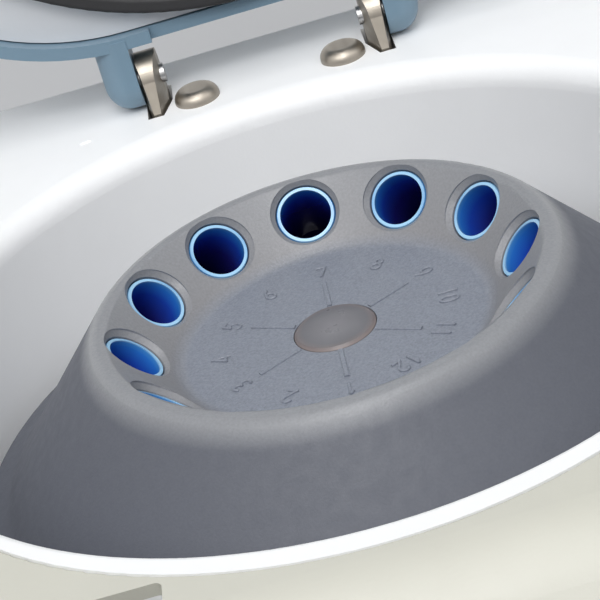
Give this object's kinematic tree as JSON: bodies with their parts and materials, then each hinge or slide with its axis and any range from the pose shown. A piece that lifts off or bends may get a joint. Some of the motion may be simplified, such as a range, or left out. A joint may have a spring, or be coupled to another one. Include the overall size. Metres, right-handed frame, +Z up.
{
  "type": "microcentrifuge",
  "caption": "Bench microcentrifuge with a hinged round-cornered lid, a grey fixed-angle rotor with slanted blue-sleeved pockets in a white bowl, and a sloping control panel.",
  "frame": {"origin": "spindle axis at bench level, under the middle of the machine", "axes": "+Z up along the spindle; the control panel faces -Y; +X to the user's right"},
  "size_m": [0.226, 0.2466, 0.2964],
  "materials": {
    "white_plastic": "moulded white plastic, fine texture",
    "warm_grey_plastic": "moulded warm grey plastic",
    "blue_grey_plastic": "moulded blue-grey plastic",
    "pale_grey_plastic": "satin",
    "rotor_grey": "moulded grey with a fine eggshell texture",
    "cap_grey": "smooth",
    "blue_sleeve": "smooth translucent blue",
    "clear_window": "clear polycarbonate",
    "display_face": "smoked display window",
    "display_part": "liquid crystal module",
    "key_grey": "satin key cap",
    "key_green": "satin key cap",
    "key_blue": "satin key cap",
    "black_rubber": "matte",
    "grey_rubber": "matte",
    "steel": "zinc plated",
    "bearing_steel": "ground",
    "aluminium": "cast",
    "laminations": "varnished laminations with copper windings",
    "magnet": "plated",
    "circuit_board": "solder mask",
    "black_plastic": "satin"
  },
  "bodies": {
    "housing": {"top_cover": "white_plastic", "base_pan": "white_plastic", "front_panel": "warm_grey_plastic", "display_window": "display_face", "display_module": "display_part", "control_board": "circuit_board", "key_switches": "black_plastic", "rubber_feet": "black_rubber", "case_screws": "steel", "motor_plate": "steel", "rubber_dampers": "grey_rubber", "motor_can": "aluminium", "motor_stator": "laminations", "motor_bearings": "bearing_steel", "motor_bolts": "steel", "chamber_seal": "black_rubber", "hinge_brackets": "steel", "hinge_pins": "steel", "deck_screws": "steel", "latch_guide": "black_plastic", "latch_coil": "black_plastic", "transformer": "laminations", "motor_driver": "circuit_board", "power_inlet": "black_plastic", "inlet_pins": "steel", "switch_bezel": "black_plastic"},
    "lid": {"lid_shell": "blue_grey_plastic", "lid_liner": "pale_grey_plastic", "lid_gasket": "black_rubber", "lid_window": "clear_window", "window_ring": "pale_grey_plastic", "latch_hooks": "steel", "lid_screws": "steel"},
    "spindle": {"spindle": "bearing_steel", "motor_magnet": "magnet"},
    "rotor": {"rotor_body": "rotor_grey", "rotor_nut": "steel", "centre_cap": "cap_grey", "sleeve_01": "blue_sleeve", "sleeve_02": "blue_sleeve", "sleeve_03": "blue_sleeve", "sleeve_04": "blue_sleeve", "sleeve_05": "blue_sleeve", "sleeve_06": "blue_sleeve", "sleeve_07": "blue_sleeve", "sleeve_08": "blue_sleeve", "sleeve_09": "blue_sleeve", "sleeve_10": "blue_sleeve", "sleeve_11": "blue_sleeve", "sleeve_12": "blue_sleeve"},
    "latch_slider": {"latch_slider": "steel"},
    "power_rocker": {"power_rocker": "black_plastic"},
    "speed_up_key": {"speed_up_key": "key_grey"},
    "speed_down_key": {"speed_down_key": "key_grey"},
    "time_up_key": {"time_up_key": "key_grey"},
    "time_down_key": {"time_down_key": "key_grey"},
    "short_spin_key": {"short_spin_key": "key_grey"},
    "lid_release_key": {"lid_release_key": "key_blue"},
    "start_stop_key": {"start_stop_key": "key_green"}
  },
  "joints": [
    {"name": "lid_hinge", "type": "hinge", "parent": "housing", "child": "lid", "pos_m": [0, 0.0927, 0.1179], "axis": [1, 0, 0], "range_deg": [0, 95]},
    {"name": "rotor_spin", "type": "hinge", "parent": "housing", "child": "spindle", "pos_m": [0, 0, 0.1], "axis": [0, 0, 1], "continuous": true},
    {"name": "rotor_lift", "type": "slide", "parent": "spindle", "child": "rotor", "axis": [0, 0, -1], "range_m": [-0.075, 0]},
    {"name": "latch_slide", "type": "slide", "parent": "housing", "child": "latch_slider", "axis": [-1, 0, 0], "range_m": [0, 0.006], "stiffness_N_per_m": 150},
    {"name": "power_rocker_tilt", "type": "hinge", "parent": "housing", "child": "power_rocker", "pos_m": [0.02, 0.111, 0.025], "axis": [0, 0, -1], "range_deg": [0, 16]},
    {"name": "speed_up_key_press", "type": "slide", "parent": "housing", "child": "speed_up_key", "axis": [0, 0.7853, -0.6192], "range_m": [0, 0.0012], "stiffness_N_per_m": 150},
    {"name": "speed_down_key_press", "type": "slide", "parent": "housing", "child": "speed_down_key", "axis": [0, 0.7853, -0.6192], "range_m": [0, 0.0012], "stiffness_N_per_m": 150},
    {"name": "time_up_key_press", "type": "slide", "parent": "housing", "child": "time_up_key", "axis": [0, 0.7853, -0.6192], "range_m": [0, 0.0012], "stiffness_N_per_m": 150},
    {"name": "time_down_key_press", "type": "slide", "parent": "housing", "child": "time_down_key", "axis": [0, 0.7853, -0.6192], "range_m": [0, 0.0012], "stiffness_N_per_m": 150},
    {"name": "short_spin_key_press", "type": "slide", "parent": "housing", "child": "short_spin_key", "axis": [0, 0.7853, -0.6192], "range_m": [0, 0.0012], "stiffness_N_per_m": 150},
    {"name": "lid_release_key_press", "type": "slide", "parent": "housing", "child": "lid_release_key", "axis": [0, 0.7853, -0.6192], "range_m": [0, 0.0012], "stiffness_N_per_m": 150},
    {"name": "start_stop_key_press", "type": "slide", "parent": "housing", "child": "start_stop_key", "axis": [0, 0.7853, -0.6192], "range_m": [0, 0.0012], "stiffness_N_per_m": 150}
  ]
}
